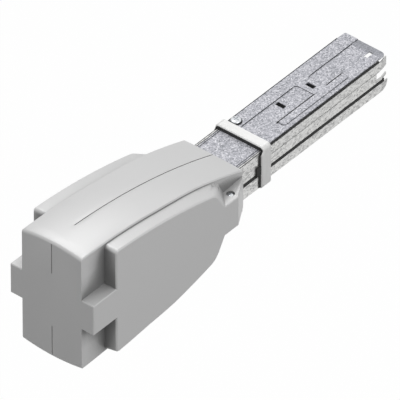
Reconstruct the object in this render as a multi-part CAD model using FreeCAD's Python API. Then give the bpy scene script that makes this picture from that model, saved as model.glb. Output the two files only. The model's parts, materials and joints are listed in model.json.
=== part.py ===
"""Busway end feed unit: a two-part moulded housing with five terminals on a steel busway stub and joint.

Units are millimetres.  The origin is the centre of the collar's outer face, where the busway run
joins.  +X points out along the run, +Y to the left of it, +Z up.  A station is a distance from the
housing's flat front face, a setback a distance in from its rear face.
"""
import FreeCAD
import Part
import math
import os

V = FreeCAD.Vector

# Lengths along the run
housing_length = 198.0
neck_length = 30.6
collar_length = 11.8
joint_length = 148.6

# Housing: a tall column with an arched, crowned roof, a flat wing across it and two cheeks
wall = 2.5
column_half_width = 30.25
column_half_height = 58.3
column_rear_half_height = 23.1
roof_crown = 2.8
roof_flat_count = 7
inner_flat_count = 3
roof_chamfer = 0.9
brow_round = 3.0
brow_turn = 76.0
brow_flat_count = 4
wing_half_width = 42.65
wing_half_height = 14.7
wing_taper_length = 20.0
wing_rear_half_width = 31.0
wing_chamfer = 0.7
cheek_station = 28.0
cheek_heel_setback = 32.3
cheek_foot_setback = 24.0
cheek_end_turn = 45.0
cheek_drop = 4.9
cheek_front_round = 3.5
cheek_rear_round = 9.0
cheek_chamfer = 1.1
seam_width = 0.7
seam_depth = 0.8
roof_seam_station = 28.0
front_seam_low = 26.5
front_seam_high = 56.0

# Locating pegs between the two halves
peg_station = 95.0
peg_width = 3.0
peg_length = 3.0
peg_boss_length = 9.0
peg_boss_width = 6.0
peg_boss_drop = 9.0

# Screws that pull the housing onto the saddle
shell_screw_setback = 21.0
shell_screw_edge = 7.35
shell_screw_radius = 2.0
shell_head_radius = 3.1
shell_head_height = 2.4
shell_head_recess = 0.5
shell_post_width = 9.6
shell_boss_gap = 0.4
nut_flats = 7.0
nut_height = 3.2
nut_recess = 0.5

# Busway stub
stub_half_width = 23.0
stub_top = 17.4
stub_bottom = -17.6
stub_setback = 48.0
stub_side_wall = 1.5
stub_sheet = 1.0
stub_lip_outer = 20.8
stub_lip_inner = 14.0
stub_strip_half_width = 18.6
side_slot_top = -2.0
side_slot_bottom = -5.3
neck_seal_wall = 1.5
neck_seal_length = 4.5
neck_seal_inset = 0.5

# Collar and its seal
collar_half_width = 25.2
collar_top = 21.7
collar_bottom = -19.3
collar_corner = 4.0
collar_chamfer = 0.8
gasket_thickness = 1.1
gasket_inset = 1.2
gasket_tab_length = 5.6
gasket_tab_bottom = -4.0
gasket_tab_top = 5.0
gasket_tab_thickness = 1.4

# Joint section
joint_sheet = 1.2
joint_lower_sheet = 0.8
joint_side_top = 16.2
joint_side_bottom = -2.2
joint_top = 18.7
joint_top_half_width = 21.3
joint_bottom = -14.5
joint_lower_top = -5.7
lead_in_length = 8.0
lead_in_side = 1.4
lead_in_drop = 0.6
ramp_edge = 8.0
end_notch_length = 14.3
end_notch_bottom = 0.2
end_notch_top = 7.7
side_bead_height = 8.6
side_bead_width = 0.6
side_bead_depth = 0.3
top_corner_round = 5.0
lower_corner_round = 8.0
panel_step = 0.6
panel_round = 3.0
first_panel = (1.6, 71.6, -10.9, 8.7)
second_panel_start = 84.6
raised_panel = (25.6, 106.6, -17.4, -9.9)
slits = ((24.6, 71.6), (85.6, 105.6))
slit_centre = -10.4
slit_width = 1.0
windows = ((44.6, 2.1), (78.6, -0.6))
window_length = 4.0
window_width = 7.8
drain_inset = 10.3
drain_y = -11.0
drain_length = 7.4
drain_width = 4.0

# Conductors
poles = ("l1", "l2", "l3", "n", "pe")
bar_pitch = 8.2
bar_width = 4.6
bar_thickness = 2.5
bar_setback = 91.0
bar_end_inset = 58.2
inner_support_setback = 40.0
outer_support_setback = 14.0
support_length = 8.0

# Insulating core and spring forks
core_setback = 4.0
core_half_width = 20.4
core_wall = 1.2
core_end_relief = 10.6
core_pad_bottom = 0.0
core_pad_top = 13.5
block_face_inset = 48.6
fork_width = 4.6
fork_base_length = 5.0
fork_base_half_height = 3.0
fork_leaf = 0.9
fork_mouth_gap = 2.2
fork_tip_gap = 4.6
fork_neck_inset = 32.6
fork_tip_inset = 26.6
fork_pocket_clearance = 0.4

# Terminals: a screw that turns in place lifts a cage against the bar
terminal_setback = 94.0
terminal_length = 22.0
terminal_foot_length = 8.0
terminal_back_wall = 1.5
chamber_width = 7.2
terminal_side_wall = 1.5
cage_length = 8.0
cage_setback = 85.0
cage_width = 6.6
cage_side = 0.8
cage_floor = 1.2
cage_head = 2.5
cage_head_gap = 0.4
wire_height = 5.5
cage_travel = 5.0
cage_play = 0.6
terminal_cap_height = 5.7
terminal_screw_radius = 2.0
terminal_head_flats = 5.0
terminal_head_height = 3.0
terminal_head_seat = 1.4
thread_clearance = 0.05
bore_clearance = 0.2

# Carrier inside the housing
saddle_sheet = 2.0
saddle_setback = 31.0
saddle_length = 17.0
ear_clearance = 1.65
ear_slot_clearance = 0.3
tray_station = 32.0
tray_setback = 18.0
tray_half_width = 24.0
tray_sheet = 2.0
tray_flange_height = 5.0
tray_flange_sheet = 1.2
tray_flange_clearance = 2.0
carrier_screw_setback = 26.0
carrier_screw_offset = 12.0
fixing_screw_setback = 68.0
fixing_screw_offset = 14.0
small_screw_radius = 2.0
small_head_flats = 6.6
small_head_height = 2.8
carrier_screw_reach = 3.5

# Cable clamp
clamp_station = 45.0
clamp_length = 12.0
clamp_half_width = 20.0
clamp_base_height = 10.6
clamp_opening = 18.0
clamp_bar_height = 5.0
clamp_groove_radius = 16.0
clamp_groove_depth = 3.0
clamp_screw_offset = 15.5
clamp_screw_tip = 16.0

# Joint lock
lock_x = 5.6
lock_y = 16.0
lock_screw_radius = 2.5
lock_head_radius = 4.3
lock_head_height = 3.0
lock_reach = 10.7
lock_plate_length = 9.0
lock_plate_width = 6.0
lock_plate_height = 3.0
lock_plate_drop = 6.0
lock_room = 0.5

# Places worked out from the sizes above
neck_x = -collar_length - neck_length
front_x = neck_x - housing_length
roof_fall = column_half_height - column_rear_half_height
roof_radius = (housing_length ** 2 + roof_fall ** 2) / (2 * roof_fall)
roof_axis_z = column_half_height - roof_radius
crown_radius = (column_half_width ** 2 + roof_crown ** 2) / (2 * roof_crown)
shell_screw_offset = wing_half_width - shell_screw_edge
bar_top = bar_thickness / 2
cage_inner_top = bar_top + cage_head_gap
cage_inner_bottom = -bar_top - wire_height
chamber_floor = cage_inner_bottom - cage_floor - cage_play
chamber_top = cage_inner_top + cage_head + cage_travel + cage_play
saddle_bottom = stub_bottom - saddle_sheet
tray_bottom = saddle_bottom - tray_sheet
terminal_half_width = (len(poles) - 1) * bar_pitch / 2 + chamber_width / 2 + terminal_side_wall
joint_inner_half_width = core_half_width - core_wall
bend_x = joint_length - lead_in_length
bar_end_x = joint_length - bar_end_inset
block_face_x = joint_length - block_face_inset
fork_neck_x = joint_length - fork_neck_inset
fork_tip_x = joint_length - fork_tip_inset
joint_roof = joint_top - joint_sheet
joint_floor = joint_bottom + joint_sheet
overrun = 5.0

os.makedirs("parts", exist_ok=True)


def save(name, shape):
    """Write one finished piece."""
    shape.exportStep("parts/" + name + ".step")


def station(distance):
    """X of a place given as its distance from the housing's front face."""
    return front_x + distance


def setback(distance):
    """X of a place given as its distance in from the housing's rear face."""
    return neck_x - distance


def pole_y(index):
    """Y of a conductor, first pole on the left."""
    return ((len(poles) - 1) / 2 - index) * bar_pitch


def box(x0, x1, y0, y1, z0, z1):
    return Part.makeBox(x1 - x0, y1 - y0, z1 - z0, V(x0, y0, z0))


def post(x, y, z0, z1, radius):
    """Upright cylinder."""
    return Part.makeCylinder(radius, z1 - z0, V(x, y, z0), V(0, 0, 1))


def opening(x, y, length, width, z0, z1):
    """Upright block round a centre point, for square posts and cut-outs."""
    return box(x - length / 2, x + length / 2, y - width / 2, y + width / 2, z0, z1)


def outline(points):
    """Closed flat face through the points."""
    return Part.Face(Part.makePolygon(points + [points[0]]))


def side_prism(points, half_width):
    """Outline in X and Z, drawn out to the same width on both sides of the centre plane."""
    face = outline([V(x, -half_width, z) for x, z in points])
    return face.extrude(V(0, 2 * half_width, 0))


def plan_prism(points, z0, z1):
    """Outline in X and Y, drawn upwards."""
    face = outline([V(x, y, z0) for x, y in points])
    return face.extrude(V(0, 0, z1 - z0))


def section_prism(points, x0, x1):
    """Outline in Y and Z, drawn along the run."""
    face = outline([V(x0, y, z) for y, z in points])
    return face.extrude(V(x1 - x0, 0, 0))


def pick(shape, test):
    """Edges whose bounding box passes the test."""
    return [edge for edge in shape.Edges if test(edge.BoundBox)]


def close(a, b):
    return abs(a - b) < 0.01


def one_solid(shape):
    """Merge leftover seams on flush faces and return the single solid."""
    return shape.removeSplitter().Solids[0]


def hexagon(x, y, z0, z1, flats):
    """Upright hexagonal prism, flats facing along Y."""
    corner = flats / math.sqrt(3)
    points = []
    for k in range(6):
        turn = math.radians(60 * k)
        points.append((x + corner * math.cos(turn), y + corner * math.sin(turn)))
    return plan_prism(points, z0, z1)


def round_screw(x, y, head_low, head_height, head_radius, tip, shank_radius):
    """Round-headed screw standing upright."""
    head = post(x, y, head_low, head_low + head_height, head_radius)
    return one_solid(head.fuse(post(x, y, tip, head_low, shank_radius)))


def hex_screw(x, y, head_low, head_height, flats, tip, shank_radius):
    """Hexagon-headed screw standing upright."""
    head = hexagon(x, y, head_low, head_low + head_height, flats)
    return one_solid(head.fuse(post(x, y, tip, head_low, shank_radius)))


# Housing forms, each drawn at a given inset from the outer skin


def crown_height(y, inset):
    """Radius of the crowned roof about its far axis, at a distance y from the centre plane."""
    return roof_radius - crown_radius + math.sqrt((crown_radius - inset) ** 2 - y ** 2)


def crown_flats(half, inset, count):
    """Crown of the roof in narrow flats, as (y, radius) from its left edge to the middle."""
    places = [half * (count - 2 * k) / count for k in range((count + 1) // 2)]
    return [(y, crown_height(y, inset)) for y in places]


def under_roof(half, rim):
    """Everything under an arched roof; rim is its outline as (y, radius) from the left edge to the middle."""
    foot = roof_radius - 2 * column_half_height - overrun
    left = [V(front_x, y, roof_axis_z + r) for y, r in [(half, foot)] + rim]
    face = outline(left + [V(p.x, -p.y, p.z) for p in reversed(left)])
    pivot = V(front_x, 0, roof_axis_z)
    lead = math.degrees(overrun / roof_radius)
    sweep = math.degrees(math.atan2(housing_length, roof_radius - 2 * column_half_height))
    face.rotate(pivot, V(0, 1, 0), -lead)
    return face.revolve(pivot, V(0, 1, 0), sweep + 2 * lead)


def outer_roof():
    """Crowned roof with lightly broken side edges."""
    half = column_half_width
    side = [(half, crown_height(half, 0) - roof_chamfer)]
    return under_roof(half, side + crown_flats(half - roof_chamfer, 0, roof_flat_count))


def inner_roof():
    """Inside of the roof."""
    half = column_half_width - wall
    return under_roof(half, crown_flats(half, wall, inner_flat_count))


def brow_barrel():
    """Nose about the crown's centre line, in narrow flats, that softens the front edge of the roof."""
    centre_z = column_half_height - crown_radius
    turn = math.radians(brow_turn)
    base = crown_radius - brow_round * math.sin(turn)

    def at(x, r):
        return V(front_x + x, 0, centre_z + r)

    def nose(angle):
        return at(brow_round * (1 - math.cos(angle)), base + brow_round * math.sin(angle))

    end = nose(turn) + V(math.sin(turn), 0, math.cos(turn)) * (2 * housing_length)
    points = [nose(turn * k / brow_flat_count) for k in range(brow_flat_count + 1)]
    face = outline([at(0, 0)] + points + [end, V(end.x, 0, centre_z)])
    return face.revolve(V(front_x, 0, centre_z), V(1, 0, 0), 360)


def both_ways(form):
    """A form and its mirror image below the run, where they overlap."""
    return form.common(form.mirror(V(0, 0, 0), V(0, 0, 1)))


def column_form(inset, roof):
    """Tall middle of the housing, the same above and below the run."""
    half = column_half_width - inset
    block = box(front_x + inset, neck_x - inset, -half, half, -column_half_height, column_half_height)
    return block.common(both_ways(roof)).Solids[0]


def wing_outline(inset):
    """Plan of the wing: parallel sides, tapered at the rear."""
    half = wing_half_width - inset
    slope = (wing_half_width - wing_rear_half_width) / wing_taper_length
    x0 = front_x + inset
    x1 = neck_x - inset
    rear_half = wing_rear_half_width + slope * inset - inset * math.hypot(1, slope)
    bend = x1 - (half - rear_half) / slope
    return [(x0, -half), (bend, -half), (x1, -rear_half), (x1, rear_half), (bend, half), (x0, half)]


def wing_form(inset):
    """Flat band across the whole length."""
    return plan_prism(wing_outline(inset), -wing_half_height + inset, wing_half_height - inset)


def cheek_ends(inset):
    """Room for the cheeks up to their rear ends, which slope down and sweep forward as they go outwards."""
    heel_x = setback(cheek_heel_setback)
    heel_z = roof_axis_z + math.sqrt((roof_radius - cheek_drop) ** 2 - (heel_x - front_x) ** 2)
    foot_x = setback(cheek_foot_setback)
    lean = (foot_x - heel_x) / (heel_z - wing_half_height)
    sweep = math.tan(math.radians(cheek_end_turn))
    middle_x = foot_x + column_half_width * sweep - inset * math.sqrt(1 + lean ** 2 + sweep ** 2)

    def end(z):
        return V(middle_x - lean * (abs(z) - wing_half_height), 0, z)

    high = column_half_height + overrun
    low = wing_half_height / 2
    ahead = front_x - overrun
    face = outline([V(ahead, 0, high), end(high), end(low), end(-low), end(-high), V(ahead, 0, -high)])
    reach = wing_half_width + overrun
    side = face.extrude(V(-reach * sweep, reach, 0))
    return side.fuse(side.mirror(V(0, 0, 0), V(0, 1, 0)))


def cheek_form(inset):
    """Broad cheeks flush with the wing, with a top edge that runs parallel to the roof."""
    radius = roof_radius - cheek_drop - inset
    start = station(cheek_station) + inset
    end = setback(cheek_foot_setback) - inset

    def crest(x):
        return V(x, 0, roof_axis_z + math.sqrt(radius ** 2 - (x - front_x) ** 2))

    upper = [crest(start), crest((start + end) / 2), crest(end)]
    lower = [V(p.x, 0, -p.z) for p in reversed(upper)]
    edges = [Part.Arc(*upper).toShape(), Part.LineSegment(upper[2], lower[0]).toShape()]
    edges += [Part.Arc(*lower).toShape(), Part.LineSegment(lower[2], upper[0]).toShape()]
    face = Part.Face(Part.Wire(edges))
    half = wing_half_width - inset
    face.translate(V(0, -half, 0))
    return face.extrude(V(0, 2 * half, 0)).common(cheek_ends(inset)).Solids[0]


def softened_column():
    """Column with a soft front brow."""
    return column_form(0, outer_roof()).common(both_ways(brow_barrel())).Solids[0]


def softened_wing():
    """Wing with lightly broken edges."""
    solid = wing_form(0)
    front = pick(solid, lambda b: close(b.XMax, front_x))
    along = pick(solid, lambda b: b.XLength > wing_taper_length / 2 and close(b.ZMin, b.ZMax))
    return solid.makeChamfer(wing_chamfer, front + along)


def softened_cheeks():
    """Cheeks with a round shoulder and heel and lightly broken outer edges."""
    solid = cheek_form(0)
    width = wing_half_width - column_half_width
    slanted = pick(solid, lambda b: min(b.XLength, b.YLength) > width / 2)
    heels = [edge for edge in slanted if abs(edge.BoundBox.Center.z) > wing_half_height]
    solid = solid.makeFillet(cheek_rear_round, heels)
    shoulder_x = station(cheek_station)
    across = pick(solid, lambda b: b.YLength > wing_half_width and close(b.XMax, shoulder_x))
    solid = solid.makeFillet(cheek_front_round, across)
    rims = pick(solid, lambda b: close(b.YMin, b.YMax) and close(abs(b.YMin), wing_half_width))
    return solid.makeChamfer(cheek_chamfer, rims)


def seam_grooves():
    """Shallow lines where the two halves meet on the roof, the floor and the front."""
    half = seam_width / 2
    axis = V(front_x, -half, roof_axis_z)
    ring = Part.makeCylinder(roof_radius + overrun, seam_width, axis, V(0, 1, 0))
    ring = ring.cut(Part.makeCylinder(roof_radius - seam_depth, seam_width, axis, V(0, 1, 0)))
    reach = box(station(roof_seam_station), neck_x - seam_width, -half, half, 0, column_half_height)
    roof = ring.common(reach)
    front = box(front_x - overrun, front_x + seam_depth, -half, half, front_seam_low, front_seam_high)
    grooves = roof.fuse(front)
    return grooves.fuse(grooves.mirror(V(0, 0, 0), V(0, 0, 1)))


def neck_opening():
    """Way out for the stub and its seal through the rear wall."""
    side = stub_half_width + neck_seal_wall + shell_boss_gap
    top = stub_top + neck_seal_wall + shell_boss_gap
    bottom = stub_bottom - neck_seal_wall - shell_boss_gap
    return box(neck_x - 2 * wall, neck_x + overrun, -side, side, bottom, top)


def shell_screw_posts(skin):
    """Upper and lower posts that clamp the saddle's ears, trimmed to the housing's skin."""
    posts = []
    x = setback(shell_screw_setback)
    low = saddle_sheet / 2 + shell_boss_gap
    for side in (1, -1):
        y = side * shell_screw_offset
        posts.append(opening(x, y, shell_post_width, shell_post_width, low, wing_half_height))
        posts.append(opening(x, y, shell_post_width, shell_post_width, -wing_half_height, -low))
    return Part.makeCompound(posts).common(skin)


def shell_screw_bores():
    """Round head recess above, square shank way through and nut pocket below."""
    bores = []
    x = setback(shell_screw_setback)
    seat = wing_half_height - shell_head_recess - shell_head_height
    way = 2 * (shell_screw_radius + bore_clearance)
    for side in (1, -1):
        y = side * shell_screw_offset
        bores.append(opening(x, y, way, way, -wing_half_height, wing_half_height))
        head_way = shell_head_radius + 2 * bore_clearance
        bores.append(post(x, y, seat - bore_clearance, wing_half_height + overrun, head_way))
        nut_top = -wing_half_height + nut_recess + nut_height
        bores.append(hexagon(x, y, -wing_half_height - overrun, nut_top, nut_flats + bore_clearance))
    return Part.makeCompound(bores)


def peg_crest():
    """Height of the roof over the pegs."""
    return roof_axis_z + math.sqrt(roof_radius ** 2 - peg_station ** 2)


def peg_bosses():
    """Blocks under the roof and on the floor that carry the pegs and their sockets."""
    x = station(peg_station)
    half = peg_boss_length / 2
    low = peg_crest() - wall - peg_boss_drop
    block = box(x - half, x + half, -peg_boss_width, peg_boss_width, low, peg_crest() - wall / 2)
    return block.fuse(block.mirror(V(0, 0, 0), V(0, 0, 1)))


def pegs(width, length):
    """Square pegs from inside the left half to a little way into the right half."""
    rods = []
    x = station(peg_station)
    z = peg_crest() - wall - peg_boss_drop / 2
    half = width / 2
    for level in (z, -z):
        rods.append(box(x - half, x + half, -length, peg_boss_width / 2, level - half, level + half))
    return rods


def housing_halves():
    """Hollow housing, parted along the centre plane."""
    skin = one_solid(softened_column().fuse([softened_wing(), softened_cheeks()]))
    hollow = column_form(wall, inner_roof()).fuse([wing_form(wall), cheek_form(wall)])
    shell = skin.cut(hollow)
    shell = shell.fuse([shell_screw_posts(skin), peg_bosses()])
    shell = shell.cut(neck_opening()).cut(shell_screw_bores()).cut(seam_grooves())
    reach = column_half_height + overrun
    left_side = box(front_x - overrun, neck_x + overrun, 0, reach, -reach, reach)
    right_side = box(front_x - overrun, neck_x + overrun, -reach, 0, -reach, reach)
    left = shell.common(left_side).fuse(pegs(peg_width, peg_length))
    right = shell.common(right_side)
    for socket in pegs(peg_width + 2 * bore_clearance, peg_length + bore_clearance):
        right = right.cut(socket)
    return one_solid(left), one_solid(right)


def shell_screw(side):
    seat = wing_half_height - shell_head_recess - shell_head_height
    tip = -wing_half_height + nut_recess
    x = setback(shell_screw_setback)
    y = side * shell_screw_offset
    return round_screw(x, y, seat, shell_head_height, shell_head_radius, tip, shell_screw_radius)


def shell_nut(side):
    low = -wing_half_height + nut_recess
    x = setback(shell_screw_setback)
    y = side * shell_screw_offset
    nut = hexagon(x, y, low, low + nut_height, nut_flats)
    return nut.cut(post(x, y, low, low + nut_height, shell_screw_radius + thread_clearance))


# Busway stub


def stub_upper_casing():
    """Inverted channel whose top is turned in to two stepped lips."""
    inner = stub_half_width - stub_side_wall
    step = stub_top - stub_sheet
    half = [(stub_lip_inner, step - stub_sheet), (stub_lip_inner, step), (stub_lip_outer, step)]
    half += [(stub_lip_outer, stub_top), (stub_half_width, stub_top), (stub_half_width, side_slot_top)]
    half += [(inner, side_slot_top), (inner, step - stub_sheet)]
    left = section_prism(half, setback(stub_setback), 0)
    right = left.mirror(V(0, 0, 0), V(0, 1, 0))
    return Part.makeCompound([left, right])


def stub_cover_strip():
    """Flat strip that lies on the lips and closes the top."""
    step = stub_top - stub_sheet
    half = stub_strip_half_width
    return box(setback(stub_setback), 0, -half, half, step, stub_top)


def screw_holes(x, offset, z0, z1):
    """A pair of square clearance holes for small screws, on both sides of the centre plane."""
    width = 2 * (small_screw_radius + bore_clearance)
    return Part.makeCompound([opening(x, side * offset, width, width, z0, z1) for side in (1, -1)])


def carrier_holes(z0, z1):
    return screw_holes(setback(carrier_screw_setback), carrier_screw_offset, z0, z1)


def fixing_holes(z0, z1):
    return screw_holes(setback(fixing_screw_setback), fixing_screw_offset, z0, z1)


def stub_lower_casing():
    """Channel below the upper casing, parted from it by the side slots."""
    inner = stub_half_width - joint_sheet
    x0 = setback(stub_setback)
    casing = box(x0, 0, -stub_half_width, stub_half_width, stub_bottom, side_slot_bottom)
    casing = casing.cut(box(x0, 0, -inner, inner, stub_bottom + joint_sheet, side_slot_bottom))
    return casing.cut(carrier_holes(stub_bottom - overrun, stub_bottom + overrun))


def bar_ways(x0, x1):
    """Slots that the bars pass through."""
    half = bar_width / 2
    ways = [box(x0, x1, pole_y(k) - half, pole_y(k) + half, -bar_top, bar_top) for k in range(len(poles))]
    return Part.makeCompound(ways)


def bar_supports():
    """Insulating combs that hold the bars inside the stub."""
    inner = stub_half_width - stub_side_wall
    top = stub_top - 2 * stub_sheet
    combs = []
    for distance in (inner_support_setback, outer_support_setback):
        x = setback(distance)
        comb = box(x, x + support_length, -inner, inner, stub_bottom + joint_sheet, top)
        combs.append(comb.cut(bar_ways(x - overrun, x + support_length + overrun)))
    return Part.makeCompound(combs)


def rounded_frame(x0, x1, half, bottom, top, corner):
    """Upright rounded block across the run, the outside of a collar or seal."""
    block = box(x0, x1, -half, half, bottom, top)
    corners = pick(block, lambda b: b.XLength > (x1 - x0) / 2)
    return block.makeFillet(corner, corners)


def stub_core(x0, x1):
    """The space that the stub's section takes up."""
    return box(x0, x1, -stub_half_width, stub_half_width, stub_bottom, stub_top)


def neck_seal():
    """Rubber frame between the stub and the housing's rear wall."""
    x1 = neck_x - neck_seal_inset
    x0 = x1 - neck_seal_length
    half = stub_half_width + neck_seal_wall
    top = stub_top + neck_seal_wall
    bottom = stub_bottom - neck_seal_wall
    return rounded_frame(x0, x1, half, bottom, top, neck_seal_wall).cut(stub_core(x0, x1))


def seal_collar():
    """White moulded collar that shrouds the joint, with softened outer edges."""
    frame = rounded_frame(-collar_length, 0, collar_half_width, collar_bottom, collar_top, collar_corner)
    rims = pick(frame, lambda b: close(b.XMin, b.XMax))
    frame = frame.makeChamfer(collar_chamfer, rims)
    return frame.cut(stub_core(-collar_length, 0))


def collar_gasket():
    """Rubber frame on the collar's inner face, with a pull tab on the right side."""
    x1 = -collar_length
    x0 = x1 - gasket_thickness
    half = collar_half_width - gasket_inset
    corner = collar_corner - gasket_inset
    frame = rounded_frame(x0, x1, half, collar_bottom + gasket_inset, collar_top - gasket_inset, corner)
    outer = stub_half_width + gasket_tab_thickness
    tab = box(x1 - gasket_tab_length, x1, -outer, -stub_half_width, gasket_tab_bottom, gasket_tab_top)
    return one_solid(frame.cut(stub_core(x0, x1)).fuse(tab))


# Joint section


def joint_side_plate(side):
    """Side plate with a pressed bead and a notched, tapered end."""
    outer = stub_half_width
    inner = outer - joint_sheet
    end_inner = inner - lead_in_side
    points = [(0, outer), (bend_x, outer), (joint_length, outer - lead_in_side), (joint_length, end_inner)]
    points += [(bend_x, inner), (0, inner)]
    plate = plan_prism(points, joint_side_bottom, joint_side_top)
    notch_start = joint_length - end_notch_length
    notch = box(notch_start, joint_length + overrun, 0, outer + overrun, end_notch_bottom, end_notch_top)
    bead_low = side_bead_height - side_bead_width / 2
    bead = box(0, bend_x, outer - side_bead_depth, outer + overrun, bead_low, bead_low + side_bead_width)
    plate = one_solid(plate.cut(notch).cut(bead))
    return plate if side > 0 else plate.mirror(V(0, 0, 0), V(0, 1, 0))


def lock_hole(z0, z1):
    return post(lock_x, lock_y, z0, z1, lock_screw_radius + bore_clearance)


def panel_form(bounds, low, high, corners_end):
    """Block over a pressed panel, with its upright corners short of corners_end rounded."""
    x0, x1, y0, y1 = bounds
    form = box(x0, x1, y0, y1, low, high)
    corners = pick(form, lambda b: close(b.ZLength, high - low) and b.XMax < corners_end)
    return form.makeFillet(panel_round, corners)


def joint_top_plate():
    """Pressed top plate with panels, slits, windows and an end that ramps down beside a flat strip."""
    half = joint_top_half_width
    points = [(0, joint_roof), (bend_x, joint_roof), (joint_length, joint_roof - lead_in_drop)]
    points += [(joint_length, joint_top - lead_in_drop), (bend_x, joint_top), (0, joint_top)]
    ramped = side_prism(points, half).cut(box(0, joint_length, ramp_edge, half, joint_floor, joint_top))
    plate = one_solid(ramped.fuse(box(0, joint_length, ramp_edge, half, joint_roof, joint_top)))
    mask = box(0, joint_length, -half, half, joint_bottom, joint_top + overrun)
    corners = pick(mask, lambda b: close(b.XMin, joint_length) and b.ZLength > half)
    plate = plate.common(mask.makeFillet(top_corner_round, corners))
    top = joint_top + overrun
    second_panel = (second_panel_start, bend_x, first_panel[2], ramp_edge)
    for bounds in (first_panel, second_panel):
        plate = plate.cut(panel_form(bounds, joint_top - panel_step, top, bend_x))
    plate = plate.fuse(panel_form(raised_panel, joint_roof, joint_top + panel_step, joint_length))
    for x0, x1 in slits:
        y0 = slit_centre - slit_width / 2
        plate = plate.cut(box(x0, x1, y0, y0 + slit_width, joint_floor, top))
    for x, y in windows:
        plate = plate.cut(opening(x, y, window_length, window_width, joint_floor, top))
    drain_x = joint_length - drain_inset
    plate = plate.cut(opening(drain_x, drain_y, drain_length, drain_width, joint_floor, top))
    return one_solid(plate.cut(lock_hole(joint_floor, top)))


def joint_lower_channel():
    """Floor channel flush with the side plates, with round lower corners at the end."""
    half = stub_half_width
    inner = half - joint_lower_sheet
    mask = box(0, joint_length, -half, half, joint_bottom, joint_lower_top)
    corner = pick(mask, lambda b: close(b.XMin, joint_length) and close(b.ZMax, joint_bottom))
    channel = mask.makeFillet(lower_corner_round, corner)
    return channel.cut(box(-overrun, joint_length + overrun, -inner, inner, joint_floor, joint_lower_top))


def contact_block():
    """Insulating core that ties the stub to the joint, carries its casing and holds the contacts."""
    back = setback(core_setback)
    end = joint_length - core_end_relief
    stub_half = stub_half_width - stub_side_wall
    half = core_half_width
    pad = stub_half_width - joint_sheet
    stub_part = box(back, 0, -stub_half, stub_half, stub_bottom + joint_sheet, stub_top - 2 * stub_sheet)
    joint_part = box(0, end, -half, half, joint_floor, joint_roof)
    pads = box(0, end, -pad, pad, core_pad_bottom, core_pad_top)
    block = one_solid(stub_part.fuse([joint_part, pads]))
    mouth = joint_inner_half_width
    block = block.cut(box(block_face_x, end + overrun, -mouth, mouth, joint_floor, joint_roof))
    block = block.cut(bar_ways(back - overrun, bar_end_x))
    reach_y = fork_width / 2 + fork_pocket_clearance
    reach_z = fork_base_half_height + fork_pocket_clearance
    for k in range(len(poles)):
        y = pole_y(k)
        block = block.cut(box(bar_end_x, block_face_x + overrun, y - reach_y, y + reach_y, -reach_z, reach_z))
    low = joint_roof - lock_plate_drop - lock_plate_height - 2 * lock_room
    inner = lock_y - lock_plate_width / 2 - lock_room
    x1 = lock_x + lock_plate_length / 2 + lock_room
    return block.cut(box(0, x1, inner, mouth, low, joint_roof))


def contact_forks():
    """Five sprung forks that grip the bars of the next length."""
    base_end = bar_end_x + fork_base_length
    half = fork_base_half_height
    mouth = fork_mouth_gap / 2
    tip = fork_tip_gap / 2
    leaf_root = half - fork_leaf
    upper = [(base_end, leaf_root), (fork_neck_x, mouth), (fork_tip_x, tip), (fork_tip_x, tip + fork_leaf)]
    upper += [(fork_neck_x, mouth + fork_leaf), (base_end, half), (bar_end_x, half)]
    points = [(x, -z) for x, z in reversed(upper)] + upper
    fork = side_prism(points, fork_width / 2)
    forks = []
    for k in range(len(poles)):
        forks.append(fork.translated(V(0, pole_y(k), 0)))
    return Part.makeCompound(forks)


def busbar(k):
    half = bar_width / 2
    return box(setback(bar_setback), bar_end_x, pole_y(k) - half, pole_y(k) + half, -bar_top, bar_top)


def joint_lock_screw():
    tip = joint_top - lock_reach
    return round_screw(lock_x, lock_y, joint_top, lock_head_height, lock_head_radius, tip, lock_screw_radius)


def joint_lock_plate():
    """Clamping plate that the lock screw draws up under the top plate."""
    top = joint_roof - lock_plate_drop
    x = lock_plate_length / 2
    y = lock_plate_width / 2
    plate = box(lock_x - x, lock_x + x, lock_y - y, lock_y + y, top - lock_plate_height, top)
    return plate.cut(post(lock_x, lock_y, top - lock_plate_height, top, lock_screw_radius + thread_clearance))


# Terminals


def terminal_block():
    """Moulded base with a chamber for each pole, open to the front and closed behind around the bars."""
    x0 = setback(terminal_setback)
    x1 = x0 + terminal_length
    half = terminal_half_width
    block = box(x0, x1, -half, half, saddle_bottom, chamber_top)
    for k in range(len(poles)):
        y = pole_y(k)
        reach = chamber_width / 2
        back = x1 - terminal_back_wall
        block = block.cut(box(x0 - overrun, back, y - reach, y + reach, chamber_floor, chamber_top + overrun))
    foot = box(x1, x1 + terminal_foot_length, -half, half, saddle_bottom, chamber_floor)
    block = one_solid(block.fuse(foot)).cut(bar_ways(x0, x1 + overrun))
    return block.cut(fixing_holes(saddle_bottom - overrun, chamber_floor + overrun))


def terminal_cap():
    """Cover over the chambers, with a square well and a shank way for each terminal screw."""
    x0 = setback(terminal_setback)
    half = terminal_half_width
    top = chamber_top + terminal_cap_height
    cap = box(x0, x0 + terminal_length, -half, half, chamber_top, top)
    x = setback(cage_setback)
    seat = chamber_top + terminal_head_seat
    well = 2 * (terminal_head_flats / math.sqrt(3) + bore_clearance)
    way = 2 * (terminal_screw_radius + bore_clearance)
    for k in range(len(poles)):
        cap = cap.cut(opening(x, pole_y(k), way, way, chamber_top, seat))
        cap = cap.cut(opening(x, pole_y(k), well, well, seat, top))
    return cap


def terminal_cage(k):
    """Square cage round the bar, tapped in its head for the screw."""
    x = setback(cage_setback)
    y = pole_y(k)
    top = cage_inner_top + cage_head
    cage = opening(x, y, cage_length, cage_width, cage_inner_bottom - cage_floor, top)
    inner = cage_width - 2 * cage_side
    cage = cage.cut(opening(x, y, cage_length, inner, cage_inner_bottom, cage_inner_top))
    return cage.cut(post(x, y, bar_top, top, terminal_screw_radius + thread_clearance))


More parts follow.
